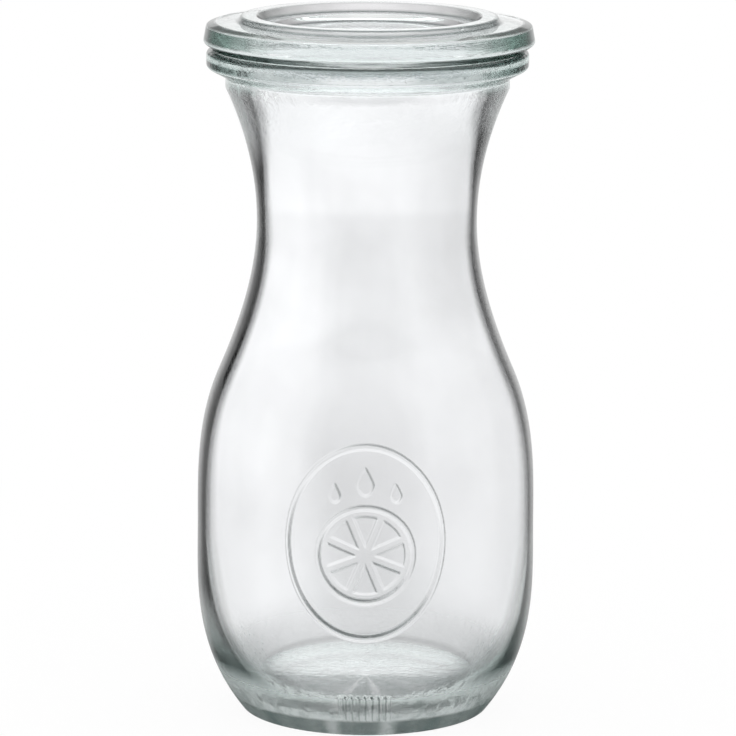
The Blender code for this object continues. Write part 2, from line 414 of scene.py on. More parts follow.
def bottleOutside():
    b = bottle
    neck = (b["neckRadius"], b["neckHeight"])
    waist = (b["waistRadius"], b["waistHeight"])
    shoulder = (b["shoulderRadius"], b["shoulderHeight"])
    belly = (b["bellyRadius"], b["bellyHeight"])
    heel = (b["heelRadius"], 0)
    steps = b["outsideSteps"]
    upward = flowRun(heel, b["heelFlare"], belly, 0, steps["belly"])
    upward += flowRun(belly, 0, shoulder, b["shoulderFlare"], steps["shoulder"])
    upward += flowRun(shoulder, b["shoulderFlare"], waist, 0, steps["waist"])
    upward += flowRun(waist, 0, neck, b["neckFlare"], steps["neck"])
    downward = [neck] + list(reversed(upward))
    punt = dome(b["bearingInner"], 0, b["punt"], steps["punt"])
    foot = softCorners([(*downward[-3], 0), (*heel, b["bearingRound"]), (b["bearingInner"], 0, 0)])
    return downward[:-3] + foot + punt[1:]


def bottleAngles():
    # close together across the emblem, wider round the back; 0 faces the camera
    columns = bottle["columns"]
    fine = math.radians(columns["halfFront"])
    front = np.linspace(-fine, fine, columns["front"])
    back = np.linspace(fine, 2 * math.pi - fine, columns["back"])[1:-1]
    return np.concatenate([front, back])


def emblemSpan():
    # lowest and highest place of the part of the skin that carries the emblem
    e = emblem
    low = e["height"] - e["halfHeight"] - e["margin"]
    high = e["height"] + e["halfHeight"] + e["margin"]
    return low, high


def signed(angles):
    # bearings from the front, to the left below zero and to the right above it
    return np.where(angles > math.pi, angles - 2 * math.pi, angles)


def bottleRelief(rings, insideCount, angles):
    # how far every point of the skin stands proud: the emblem on the belly, the ribs below it
    b = bottle
    e = emblem
    low, high = emblemSpan()
    radius = rings[:, 0][:, None]
    height = rings[:, 1][:, None]
    skin = np.arange(len(rings))[:, None] >= insideCount
    turned = signed(angles)[None, :]
    front = skin & (np.abs(turned) < e["reach"]) & (height > low) & (height < high)
    raised = np.where(front, emblemRelief(turned * b["bellyRadius"], height - e["height"]), 0)
    return raised + np.where(skin & (height < low), ribRelief(turned * radius, height), 0)


def makeBottle():
    b = bottle
    low, high = emblemSpan()
    inside = bottleInside()
    insideCount = len(inside) - 1

    def spacing(height):
        if low < height < high:
            return b["spacing"]["emblem"]
        return b["spacing"]["heel"] if b["ribs"]["low"] < height < low else b["spacing"]["plain"]

    def shape(x, y, z, rings, angles):
        radius = rings[:, 0][:, None]
        height = rings[:, 1][:, None]
        skin = np.arange(len(rings))[:, None] >= insideCount
        raised = bottleRelief(rings, insideCount, angles)
        x = x * (1 + raised / radius)
        y = y * (1 + raised / radius)
        inMouth = ease((height - b["throatHeight"]) / b["boreFade"])
        x = x + np.where(skin, 0, b["boreShift"] * (1 - inMouth))
        return x, y, z

    profile = inside + filledIn(bottleRim() + bottleOutside(), spacing)
    angles = bottleAngles()
    piece = turnedMesh("juice_bottle_glass", profile, angles, shape)
    markBottle(piece, np.array(profile[1:-1]), insideCount, angles)
    return piece


def markBottle(piece, rings, insideCount, angles):
    # tells the material what every point belongs to
    b = bottle
    radius, height = rings[:, 0], rings[:, 1]
    skin = np.arange(len(rings)) >= insideCount
    # upright wall, inside and outside, where the painted edge shade goes; floor, base and rim are left
    # clear
    wall = ease((height - b["wallLow"]) / b["wallFade"])
    wall = wall * ease((b["collarHeight"] - height) / b["collarFade"])
    line, thick = innerLine(rings, insideCount, angles)
    edges = reliefEdges(bottleRelief(rings, insideCount, angles), skin, angles)
    # the heavy heel, on its front half, which takes painted shade and mottle
    heelEdge = ease((b["heelEdgeTop"] - height) / b["heelEdgeFade"])
    mottled = ease((b["mottleTop"] - height) / b["mottleFade"]) * skin * (radius > b["bearingInner"])
    starts, fades = b["frontHalf"]
    toFront = ease((np.cos(angles) - starts) / fades)
    aboveNeck = height - b["neckHeight"]
    greener = ease(aboveNeck / b["greenerFade"]) + b["greenerHeel"] * heelEdge
    marks = {
        "boreWall": np.where(skin, 0, wall),
        "skinWall": np.where(skin, wall, 0),
        "innerLine": line,
        "thickWall": thick,
        "paintedShade": np.maximum(bottlePaintedShade(height, skin, angles), edges),
        "heelEdge": (heelEdge * skin)[:, None] * toFront,
        "mottled": mottled[:, None] * toFront,
        "rimEdge": rimEdge(radius, height, skin),
        "rimSide": rimSide(radius, height, skin),
        "rimUnder": rimUnder(radius, height, skin),
        "pressed": bottlePressed(b["pressed"], radius, height, skin),
        "stippled": bottlePressed(b["stippled"], radius, height, skin),
        "streaked": ease(aboveNeck / b["streakedFade"]),
        "greener": np.where(skin, greener, 0),
        "shade": bottleShade(height, skin, angles),
    }
    markPoints(piece, marks, len(angles))


def reliefEdges(raised, skin, angles):
    # painted shade: edges that face away from the light, down and to the right, get dark lines
    across = (angles[1] - angles[0]) * bottle["bellyRadius"]
    falls = -np.gradient(raised, axis=1) / across
    falls += np.gradient(raised, axis=0) / np.where(skin, bottle["spacing"]["emblem"], 1)[:, None]
    starts, full = emblem["edgeFalls"]
    return emblem["edgeShade"] * ease((falls - starts) / (full - starts))


def bottlePaintedShade(height, skin, angles):
    # painted shade in the heavy base: how much it dims what passes, most at its lowest edge
    v = bottle["paintedShade"]
    turned = np.degrees(signed(angles))
    gaps = sum(ease(1 - np.abs(turned - gap) / v["gapReach"]) for gap in v["gaps"])
    turned = np.abs(turned)
    aside = ease((turned - v["sideFrom"]) / (v["sideTo"] - v["sideFrom"]))
    strength = 1 - v["back"] * ease((turned - v["backFrom"]) / v["backFade"])
    heel = ease((v["heelTop"] - height) / v["heelFade"])[:, None] * (v["heel"] + v["side"] * aside)
    # the foot's painted dark line is uneven, with lighter gaps
    slow, fast = (np.sin(times * angles + start) for times, start in v["ripples"])
    uneven = 0.5 + 0.5 * slow * fast
    line = v["foot"] * (1 - v["ripple"] + v["ripple"] * uneven) * (1 - v["gapDepth"] * gaps)
    foot = ease((v["footTop"] - height) / v["footFade"])[:, None] * line
    floor = v["floor"] * ease((v["floorTop"] - height) / v["floorFade"])
    edge = v["line"] * ease(1 - np.abs(height - v["lineHeight"]) / v["lineReach"])
    outside = np.maximum(heel, foot) * strength
    return np.where(skin[:, None], outside, np.maximum(floor, edge)[:, None])


def rimEdge(radius, height, skin):
    # painted shade on the rim's ground seat and the rounded corner outside it
    b = bottle
    low = b["rimTopHeight"] - b["rimEdgeReach"]
    return np.where(skin & (radius > b["seatInner"]), ease((height - low) / b["rimRound"]), 0)


def rimSide(radius, height, skin):
    # painted shade on the rim's upright side
    b = bottle
    low, top = b["rimSideFade"]
    side = ease((height - b["rimLowHeight"]) / low)
    side = side * ease((b["rimTopHeight"] - b["rimRound"] - height) / top)
    return np.where(skin & (radius > b["rimRadius"] - b["rimDepth"]), side, 0)


def rimUnder(radius, height, skin):
    # painted shade below the rim, where it slopes in to the neck
    b = bottle
    below, above = b["rimUnderReach"]
    under = ease((height - b["collarHeight"] + below) / b["rimUnderFade"])
    under = under * ease((b["rimLowHeight"] + above - height) / b["rimUnderFade"])
    return np.where(skin & (radius > b["neckRadius"] - below), under, 0)


def bottlePressed(p, radius, height, skin):
    # how coarse the surface is: the stippled underside most, the walls not at all
    b = bottle
    under = skin & (height < b["punt"] + b["underReach"]) & (radius < b["heelRadius"])
    heel = p["heel"] * ease((p["heelTop"] - height) / p["heelFade"])
    floor = p["floor"] * ease((p["floorTop"] - height) / p["floorFade"])
    coarse = np.where(under, p["under"], np.where(skin, heel, floor))
    if "neck" in p:
        coarse = np.maximum(coarse, p["neck"] * ease((height - p["neckLow"]) / p["neckFade"]))
    return coarse


def bottleShade(height, skin, angles):
    # painted reflection: how much each point of the skin is dimmed by the grey patches
    turned = np.degrees(signed(angles))[None, :]
    level = np.ones((len(height), len(angles)))
    for s in bottle["shades"]:
        around = ease(1 - np.abs(turned - s["middle"]) / s["reach"])
        along = ease((height - s["low"]) / s["fade"]) * ease((s["high"] - height) / s["fade"])
        level *= 1 - s["dim"] * around * (along * skin)[:, None]
    return level


def ribRelief(across, height):
    r = bottle["ribs"]
    swell = 0.5 + 0.5 * np.cos(across / r["pitch"] * 2 * math.pi)
    ends = ease((height - r["low"]) / r["endFade"]) * ease((r["high"] - height) / r["endFade"])
    sides = ease((r["halfSpan"] - np.abs(across)) / r["sideFade"])
    return r["relief"] * ease((swell - r["valley"]) / r["rise"]) * ends * sides


def innerLine(rings, insideCount, angles):
    # for every point of the skin: how far it has turned from the eye where the inner wall's edge
    # shows through it, which places the painted dark line, and how thick the wall is, from thin (0) to
    # thick (1)
    b = bottle
    inside = rings[:insideCount]
    inside = inside[np.argsort(inside[:, 1])]
    radius, height = rings[:, :1], rings[:, 1:]
    behind = np.interp(height, inside[:, 1], inside[:, 0]) + b["boreShift"] * np.sin(angles)
    grazing = 0.002  # the least turn to the eye, squared
    toEye = np.sqrt(np.clip(1 - (behind / np.maximum(radius, behind)) ** 2, grazing, 1))
    climb = np.gradient(rings[:, 1])
    lean = np.arctan(-np.gradient(rings[:, 0]) / np.where(climb == 0, 1, climb))[:, None]
    tilt = math.radians(eye["elevation"])
    turn = 1 - np.clip(np.cos(lean) * toEye * math.cos(tilt) + np.sin(lean) * math.sin(tilt), 0, 1)
    # lower down on the left and in the neck the painted line shows further in
    stations, left, right = (np.array(column) for column in zip(*b["lineShift"]))
    toRight = (1 + np.sin(angles)) / 2
    turn = turn + np.interp(height, stations, left) * (1 - toRight)
    turn = turn + np.interp(height, stations, right) * toRight
    thin, full = b["thickFrom"], b["thickTo"]
    thick = ease((radius - behind - thin) / (full - thin))
    thick = np.maximum(thick, b["softRight"] * ease(np.sin(angles) / b["softRightFade"]))
    return turn, thick


def markPoints(piece, marks, columns):
    # a mark has one value for each ring, or where it changes round the piece one for each point
    for name, values in marks.items():
        mark = piece.data.attributes.new(name, "FLOAT", "POINT")
        onSkin = np.repeat(values, columns) if values.ndim == 1 else values.ravel()
        everyPoint = np.concatenate([onSkin, [0, 0]])
        mark.data.foreach_set("value", everyPoint.astype(np.float32))


# Lid: radii from the axis, heights from the plane of its seat

lid = {
    "seatHeight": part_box("lid")[1].z - 6.5 * mm,
    "radius": 32.75 * mm,
    "flangeHeight": 5.28 * mm,
    "bandWidth": 1.9 * mm,  # near its edge the flange's top slopes down
    "bandDrop": 0.58 * mm,
    "flangeLean": 0.6 * mm,
    "edgeRound": 0.6 * mm,
    "chamferWidth": 1.8 * mm,
    "chamferRise": 1.4 * mm,
    "flangeTop": 6.2 * mm,
    "ringFoot": 0.6 * mm,
    "ringHeight": 6.5 * mm,
    "ringWidth": 3.1 * mm,
    "ringRound": 0.6 * mm,
    "stepDrop": 1.9 * mm,
    "stepWidth": 2.2 * mm,
    "slopeWidth": 1.0 * mm,
    "dishDrop": 1.5 * mm,
    "centreThickness": 3.2 * mm,
    "plugRadius": 24.0 * mm,
    "plugTaper": 0.6 * mm,
    "plugDrop": 3.3 * mm,
    "plugWall": 2.4 * mm,
    "plugRound": 0.6 * mm,
    "spacing": 0.4 * mm,  # of its rings
    "columns": 240,
    "restsAside": 0.3 * mm,  # it lies this far to the right of the bottle's axis
    # where the marks for the material set in and how softly
    "markFade": 0.4 * mm,
    "lowEdgeAbove": 0.2 * mm,
    "sideFade": 0.3 * mm,
    "bandReach": 0.1 * mm,
    "bandFade": 0.3 * mm,
    "bandBelow": 0.2 * mm,
    "levelReach": 0.1 * mm,
    "slopeReach": 0.3 * mm,
    "slopeBelow": 0.2 * mm,
    "pressedUnder": 0.12,  # how coarse the underside is, where 1 is the coarsest glass
    "creaseReach": 0.85 * mm,  # painted shade: the corners get dark lines this far to each side
    "creases": {"step": 1.0, "dish": 1.0, "foot": 0.9, "top": 0.95},
}


def lidCorners():
    # the corners of the ring and the dish, as (radius, height)
    d = lid
    flangeTop = d["radius"] - d["flangeLean"]
    ringFoot = flangeTop - d["flangeTop"]
    ringOuter = ringFoot - d["ringFoot"]
    stepHeight = d["ringHeight"] - d["stepDrop"]
    stepOuter = ringOuter - d["ringWidth"] - d["slopeWidth"]
    stepInner = stepOuter - d["stepWidth"]
    return {
        "rim": (flangeTop, d["flangeHeight"] - d["bandDrop"]),
        "band": (flangeTop - d["bandWidth"], d["flangeHeight"]),
        "foot": (ringFoot, d["flangeHeight"]),
        "top": (ringOuter, d["ringHeight"]),
        "topInner": (ringOuter - d["ringWidth"], d["ringHeight"]),
        "step": (stepOuter, stepHeight),
        "stepInner": (stepInner, stepHeight),
        "dish": (stepInner - d["slopeWidth"], stepHeight - d["dishDrop"]),
    }


def lidProfile():
    d = lid
    at = lidCorners()
    dishHeight = at["dish"][1]
    underside = dishHeight - d["centreThickness"]
    plugLow = d["plugRadius"] - d["plugTaper"]
    plugBore = plugLow - d["plugWall"]
    corners = [
        (0, dishHeight, 0),
        (*at["dish"], d["ringRound"]),
        (*at["stepInner"], d["ringRound"]),
        (*at["step"], d["ringRound"]),
        (*at["topInner"], d["ringRound"]),
        (*at["top"], d["ringRound"]),
        (*at["foot"], d["ringRound"]),
        (*at["band"], d["ringRound"]),
        (*at["rim"], d["edgeRound"]),
        (d["radius"], d["chamferRise"], d["edgeRound"]),
        (d["radius"] - d["chamferWidth"], 0, d["edgeRound"]),
        (d["plugRadius"], 0, d["plugRound"]),
        (plugLow, -d["plugDrop"], d["plugRound"]),
        (plugBore, -d["plugDrop"], d["plugRound"]),
        (plugBore - d["plugTaper"], underside, d["plugRound"]),
        (0, underside, 0),
    ]
    return softCorners(corners)


def makeLid():
    d = lid
    profile = filledIn(lidProfile(), lambda height: d["spacing"])
    profile = [(radius, height + d["seatHeight"]) for radius, height in profile]
    angles = np.linspace(0, 2 * math.pi, d["columns"], endpoint=False)
    piece = turnedMesh("juice_bottle_lid_glass", profile, angles)
    piece.data.transform(Matrix.Translation((d["restsAside"], 0, 0)))
    rings = np.array(profile[1:-1])
    markLid(piece, rings[:, 0], rings[:, 1] - d["seatHeight"])
    return piece


def markLid(piece, radius, height):
    # tells the material what every ring belongs to
    d = lid
    at = lidCorners()
    outer = radius > d["radius"] - d["chamferWidth"] - d["markFade"]
    chamferTop = d["chamferRise"] + d["lowEdgeAbove"]
    edgeHeight = at["rim"][1]
    side = ease((height - chamferTop) / d["markFade"]) * ease((edgeHeight - height) / d["sideFade"])
    seat = (radius > d["plugRadius"] + d["plugRound"]) & (height > -d["levelReach"])
    lowEdge = ease((chamferTop - height) / d["markFade"])
    paintedShade = np.zeros(len(radius))
    for name, strength in d["creases"].items():
        away = np.hypot(radius - at[name][0], height - at[name][1])
        paintedShade = np.maximum(paintedShade, strength * ease(1 - away / d["creaseReach"]))
    under = (height < d["levelReach"]) & (radius < d["plugRadius"] + d["levelReach"])
    coarse = np.where(under, d["pressedUnder"], 0)
    band = ease((radius - at["band"][0] + d["bandReach"]) / d["bandFade"])
    band = band * ease((height - edgeHeight + d["bandBelow"]) / d["bandBelow"])
    marks = {
        "sideWall": np.where(outer, side, 0),
        "lowEdge": np.where(seat, lowEdge, 0),
        "paintedShade": paintedShade,
        "pressed": coarse,
        "stippled": coarse,
        "streaked": np.ones(len(radius)),
        "slope": lidSlope(radius, height),
        "band": band,
    }
    markPoints(piece, marks, d["columns"])


def lidSlope(radius, height):
    # where the ring and the dish fall away, seen from above, which take painted shade
    d = lid
    at = lidCorners()
    slope = np.zeros(len(radius))
    for high, low in (("top", "foot"), ("topInner", "step"), ("stepInner", "dish")):
        near = min(at[high][0], at[low][0]) - d["slopeReach"]
        far = max(at[high][0], at[low][0]) + d["slopeReach"]
        inside = ease((radius - near) / d["markFade"]) * ease((far - radius) / d["markFade"])
        slope = np.maximum(slope, inside * (height > at["dish"][1] - d["slopeBelow"]))
    return slope


# Ramps are lists of (turn away from the eye, how much light passes), which paint shade into the glass's
# colour

bottleGlass = {
    # painted shade: the dark line where the inner wall's edge shows through; here the turn is counted from
    # the inner wall's edge
    "skinThin": [
        (-1.0, 1.0), (-0.13, 1.0), (-0.05, 0.25), (-0.01, 0.006),
        (0.03, 0.001), (0.1, 0.006), (0.28, 0.04), (0.55, 0.12),
    ],
    "skinThick": [
        (-1.0, 1.0), (-0.17, 1.0), (-0.08, 0.35), (-0.02, 0.06),
        (0.03, 0.10), (0.09, 0.17), (0.2, 0.20), (0.5, 0.3),
    ],
    # painted reflection: a soft darker band down the middle, where the front mirrors the dark side of the
    # room
    "middle": [(0.0, 0.88), (0.025, 0.89), (0.05, 0.95), (0.085, 1.0), (1.0, 1.0)],
    # painted shade low down, where the heavy heel turns away to the sides
    "heelEdge": [
        (0.0, 1.0), (0.22, 1.0), (0.36, 0.55), (0.5, 0.24), (0.7, 0.05), (0.85, 0.01), (1.0, 0.005),
    ],
    # painted shade where the inner wall turns away from the eye
    "boreWall": [(-1.0, 1.0), (0.61, 1.0), (0.72, 0.62), (0.80, 0.40), (0.86, 0.25), (1.0, 0.03)],
    # painted shade on the rim: its seat and rounded corner, its side, and the slope below it
    "rimEdge": [
        (0.0, 0.2), (0.15, 0.2), (0.21, 0.12), (0.25, 0.02), (0.35, 0.008), (0.5, 0.002), (1.0, 0.001),
    ],
    "rimSide": [
        (0.0, 0.8), (0.03, 0.8), (0.08, 0.45), (0.14, 0.35), (0.25, 0.40), (0.37, 0.2), (0.5, 0.05),
        (0.66, 0.005), (0.85, 0.001),
    ],
    "rimUnder": [
        (0.0, 1.0), (0.66, 1.0), (0.74, 0.75), (0.78, 0.32), (0.82, 0.14), (0.90, 0.08), (1.0, 0.06),
    ],
    # the dark green that the painted shade mixes in
    "paintedShade": (0.03, 0.045, 0.042),
    "lastLight": (0.955, 1.0, 0.985, 1),
    "lastLevel": 0.62,
    "gap": "rimEdge",  # the painted glow is kept out of the gap between the pieces
}

# painted shade on the lid: the flange's side, its low chamfer, the ring's slopes and the band darken as
# they turn from the eye
lidGlass = {
    "sideWall": [
        (0.0, (0.93, 0.89, 0.92)), (0.15, (0.93, 0.90, 0.93)), (0.24, (0.66, 0.70, 0.69)),
        (0.35, (0.16, 0.22, 0.20)), (0.50, (0.05, 0.10, 0.08)), (0.64, (0.02, 0.045, 0.035)),
        (0.80, (0.002, 0.006, 0.005)), (1.0, (0.002, 0.006, 0.005)),
    ],
    "lowEdge": [
        (0.0, (1.0, 1.0, 1.0)), (0.49, (0.60, 0.64, 0.63)), (0.53, (0.07, 0.085, 0.08)),
        (0.576, (0.02, 0.028, 0.026)), (0.636, (0.003, 0.006, 0.005)), (0.80, (0.001, 0.003, 0.002)),
    ],
    "slope": [(0.0, 0.97), (0.06, 0.9), (0.15, 0.66), (0.3, 0.45), (0.5, 0.25), (0.8, 0.08), (1.0, 0.06)],
    "band": [
        (0.0, (0.95, 0.95, 0.95)), (0.5, (0.8, 0.8, 0.8)), (0.585, (0.42, 0.44, 0.43)),
        (0.624, (0.33, 0.35, 0.34)), (0.66, (0.10, 0.12, 0.11)), (0.70, (0.012, 0.02, 0.017)),
        (0.74, (0.002, 0.005, 0.004)), (1.0, (0.001, 0.003, 0.002)),
    ],
    "paintedShade": (0.03, 0.04, 0.04),
    "lastLight": (0.97, 1.0, 0.995, 1),
    "lastLevel": 0.55,
    "gap": "lowEdge",
}


def newNode(tree, kind, inputs, **settings):
    # a node with its inputs filled: numbers and colours are set there, outputs are linked
    node = tree.nodes.new(kind)
    for name, value in settings.items():
        setattr(node, name, value)
    for name, value in inputs.items():
        if isinstance(value, bpy.types.NodeSocket):
            tree.links.new(value, node.inputs[name])
        else:
            node.inputs[name].default_value = value
    return node


def mathNode(tree, operation, *values):
    return newNode(tree, "ShaderNodeMath", dict(enumerate(values)), operation=operation).outputs[0]


def multiplied(tree, first, second):
    return mathNode(tree, "MULTIPLY", first, second)


def levelRamp(tree, value, stops, low=0.0, high=1.0):
    # a smooth run of levels along a value that goes from low to high
    spread = newNode(tree, "ShaderNodeMapRange", {"From Min": low, "From Max": high, "Value": value})
    ramp = newNode(tree, "ShaderNodeValToRGB", {"Fac": spread.outputs["Result"]})
    ramp.color_ramp.interpolation = "EASE"
    marks = ramp.color_ramp.elements
    while len(marks) < len(stops):
        marks.new(0.5)
    for mark, (place, level) in zip(marks, stops):
        mark.position = (place - low) / (high - low)
    for mark, (place, level) in zip(marks, stops):
        mark.color = (*level, 1) if isinstance(level, tuple) else (level, level, level, 1)
    return ramp.outputs["Color"]


def mixLevels(tree, factor, first, second):
    values = {"Factor": factor, "A": first, "B": second}
    return newNode(tree, "ShaderNodeMix", values, data_type="FLOAT").outputs["Result"]


def mixColours(tree, factor, first, second):
    # sockets 6 and 7 take the colours, and 2 gives the result
    first, second = ((*value, 1) if isinstance(value, tuple) else value for value in (first, second))
    values = {"Factor": factor, 6: first, 7: second}
    return newNode(tree, "ShaderNodeMix", values, data_type="RGBA").outputs[2]


def noiseNode(tree, place, pattern):
    values = {"Scale": pattern[0], "Detail": pattern[1], "Vector": place}
    return newNode(tree, "ShaderNodeTexNoise", values).outputs["Fac"]


def ownPlace(tree):
    # places measured in the piece's own frame
    return tree.nodes.new("ShaderNodeTexCoord").outputs["Object"]


def markValue(tree, name):
    # reads one of the marks that a mesh carries on its points
    return newNode(tree, "ShaderNodeAttribute", {}, attribute_name=name).outputs["Fac"]


def clouds(tree):
    # faint soft patches, as pressed glass has
    noise = noiseNode(tree, ownPlace(tree), glass["clouds"])
    starts, full = glass["cloudEdges"]
    dimmed = 1 - glass["cloudDepth"]
    return levelRamp(tree, noise, [(0, 1), (starts, 1), (full, dimmed), (1, dimmed)])


def mottle(tree):
    # painted shade in small uneven patches low on the front, where the stippled glass bends the light away
    noise = noiseNode(tree, ownPlace(tree), glass["mottles"])
    patch = levelRamp(tree, noise, glass["mottle"])
    return mixLevels(tree, markValue(tree, "mottled"), 1.0, patch)


def bottleTintAndShade(tree, turn):
    look = bottleGlass
    fromLine = mathNode(tree, "SUBTRACT", turn, markValue(tree, "innerLine"))
    thin = levelRamp(tree, fromLine, look["skinThin"], -1.0, 1.0)
    thick = levelRamp(tree, fromLine, look["skinThick"], -1.0, 1.0)
    skin = mixLevels(tree, markValue(tree, "thickWall"), thin, thick)
    skin = multiplied(tree, skin, levelRamp(tree, turn, look["middle"]))
    skin = multiplied(tree, skin, markValue(tree, "shade"))
    heel = levelRamp(tree, turn, look["heelEdge"])
    skin = multiplied(tree, skin, mixLevels(tree, markValue(tree, "heelEdge"), 1.0, heel))
    level = mixLevels(tree, markValue(tree, "skinWall"), 1.0, skin)
    for name, lowest in (("boreWall", -1.0), ("rimEdge", 0.0), ("rimSide", 0.0), ("rimUnder", 0.0)):
        here = levelRamp(tree, turn, look[name], lowest, 1.0)
        level = multiplied(tree, level, mixLevels(tree, markValue(tree, name), 1.0, here))
    level = multiplied(tree, level, clouds(tree))
    level = multiplied(tree, level, mottle(tree))
    colour = tree.nodes.new("ShaderNodeCombineColor")
    for slot, extra in enumerate(glass["greener"]):
        power = mathNode(tree, "MULTIPLY_ADD", markValue(tree, "greener"), extra, 1.0)
        deep = mathNode(tree, "POWER", level, power)
        tree.links.new(multiplied(tree, deep, glass["cast"][slot]), colour.inputs[slot])
    # painted shade: where the base and the emblem's edges are marked, the colour goes to that dark green
    return mixColours(tree, markValue(tree, "paintedShade"), colour.outputs[0], look["paintedShade"])


def lidTintAndShade(tree, turn):
    colour = glass["cast"]
    for name in ("sideWall", "lowEdge", "slope", "band"):
        here = levelRamp(tree, turn, lidGlass[name])
        colour = mixColours(tree, markValue(tree, name), colour, here)
    # painted shade: the lid's creases go to a dark green
    return mixColours(tree, markValue(tree, "paintedShade"), colour, lidGlass["paintedShade"])


def glassMaterial(name, tint, look):
    material = bpy.data.materials.new(name)
    material.use_nodes = True
    tree = material.node_tree
    links = tree.links
    shader = tree.nodes["Principled BSDF"]
    shader.inputs["Metallic"].default_value = 0
    shader.inputs["IOR"].default_value = glass["ior"]
    shader.inputs["Transmission Weight"].default_value = 1
    # the base colour carries the glass's cast and painted shade, darker as the surface turns from the eye
    facing = newNode(tree, "ShaderNodeLayerWeight", {"Blend": 0.5}).outputs["Facing"]
    links.new(tint(tree, facing), shader.inputs["Base Color"])
    coarse = multiplied(tree, markValue(tree, "pressed"), glass["roughness"])
    links.new(coarse, shader.inputs["Roughness"])
    # painted light: rays past lastReflection make the glass glow in lastLight, except in the gap
    bounces = tree.nodes.new("ShaderNodeLightPath").outputs["Glossy Depth"]
    late = mathNode(tree, "GREATER_THAN", bounces, glass["lastReflection"] - 0.5)
    outsideGap = mathNode(tree, "SUBTRACT", 1.0, markValue(tree, look["gap"]))
    late = multiplied(tree, late, outsideGap)
    shader.inputs["Emission Color"].default_value = look["lastLight"]
    links.new(multiplied(tree, late, look["lastLevel"]), shader.inputs["Emission Strength"])
    # long waves everywhere, a stipple where the surface is coarse, level streaks on neck and lid
    place = ownPlace(tree)
    waves = noiseNode(tree, place, glass["waves"])
    stipple = noiseNode(tree, place, glass["stipples"])
    stipple = multiplied(tree, stipple, markValue(tree, "stippled"))
    stipple = multiplied(tree, stipple, glass["stippleDepth"] / glass["waveDepth"])
    factors = {0: place, 1: glass["streakStretch"]}
    stretched = newNode(tree, "ShaderNodeVectorMath", factors, operation="MULTIPLY").outputs[0]
    streak = noiseNode(tree, stretched, glass["streaks"])
    streak = multiplied(tree, streak, markValue(tree, "streaked"))
    streak = multiplied(tree, streak, glass["streakDepth"] / glass["waveDepth"])
    uneven = mathNode(tree, "ADD", waves, mathNode(tree, "ADD", stipple, streak))
    relief = {"Distance": glass["waveDepth"], "Height": uneven}
    bump = newNode(tree, "ShaderNodeBump", relief)
    links.new(bump.outputs["Normal"], shader.inputs["Normal"])
    depth = {"Color": glass["tint"], "Density": glass["density"]}
    absorbed = newNode(tree, "ShaderNodeVolumeAbsorption", depth)
    links.new(absorbed.outputs["Volume"], tree.nodes["Material Output"].inputs["Volume"])
    return material


# Studio: a white sweep in a soft round light tent

studio = {
    "floorSize": 1.2,
    "floorDrop": 0.1 * mm,
    "floorShade": 0.06,
    "floorFade": (0.05, 0.22),  # the shadow is kept from here to here, measured from the bottle
    "panels": 8,  # white cloth panels round the tent, one straight behind each of the usual views
    "between": 0.90,  # how bright it is between two panels
    "panelEdges": (9.0, 18.0),  # degrees from a panel's middle: full until here, between from here
    "panelRise": [(-90, 0), (-40, 0), (-25, 1), (5, 1), (20, 0), (90, 0)],  # the heights they reach
    # levels by elevation in degrees: seen through the glass, then mirrored in it
    "through": [(-90, 0.90), (-35, 0.95), (-17, 0.98), (-10.5, 1.0), (-8.5, 1.08), (90, 1.08)],
    "mirrored": [
        (-90, 0.05), (-40, 0.06), (-26, 0.16), (-16, 0.5), (-8, 0.8), (8, 1.0), (35, 1.0),
        (60, 0.6), (90, 0.5),
    ],
    "mirroredFront": [(-90, 1.0), (-20, 0.95), (-15, 0.1), (10, 0.05), (35, 0.35), (60, 0.9), (90, 1.0)],
    # a factor by bearing, from the left round the back to the right
    "mirroredRound": [
        (-180, 1.0), (-80, 0.9), (-60, 0.5), (-42, 0.3), (-34, 0.5), (-22, 1.0),
        (22, 1.0), (34, 0.5), (42, 0.3), (60, 0.25), (85, 0.35), (115, 0.5), (180, 0.5),
    ],
    "frontEdges": (110, 150),  # degrees from straight behind, where the darker front sets in
    "darkest": 0.02,
    "fullWidth": 0.5,  # boxes and cards are even over this share of their size, then they fade
    "fullHeight": 0.7,
    # soft white boxes that only gloss shows: middle and half size in degrees, then the level
    "boxes": [
        {"bearing": -117, "wide": 22, "rise": -4, "tall": 24, "level": 0.35},
        {"bearing": 91, "wide": 18, "rise": 8, "tall": 30, "level": 0.2},
        # and dark cards, which deepen the ends and the sloping edge of the lid
        {"bearing": -36, "wide": 24, "rise": 11, "tall": 9, "level": -0.45},
        {"bearing": 36, "wide": 24, "rise": 11, "tall": 9, "level": -0.45},
        {"bearing": 0, "wide": 17, "rise": 21, "tall": 10, "level": -0.6},
    ],
}


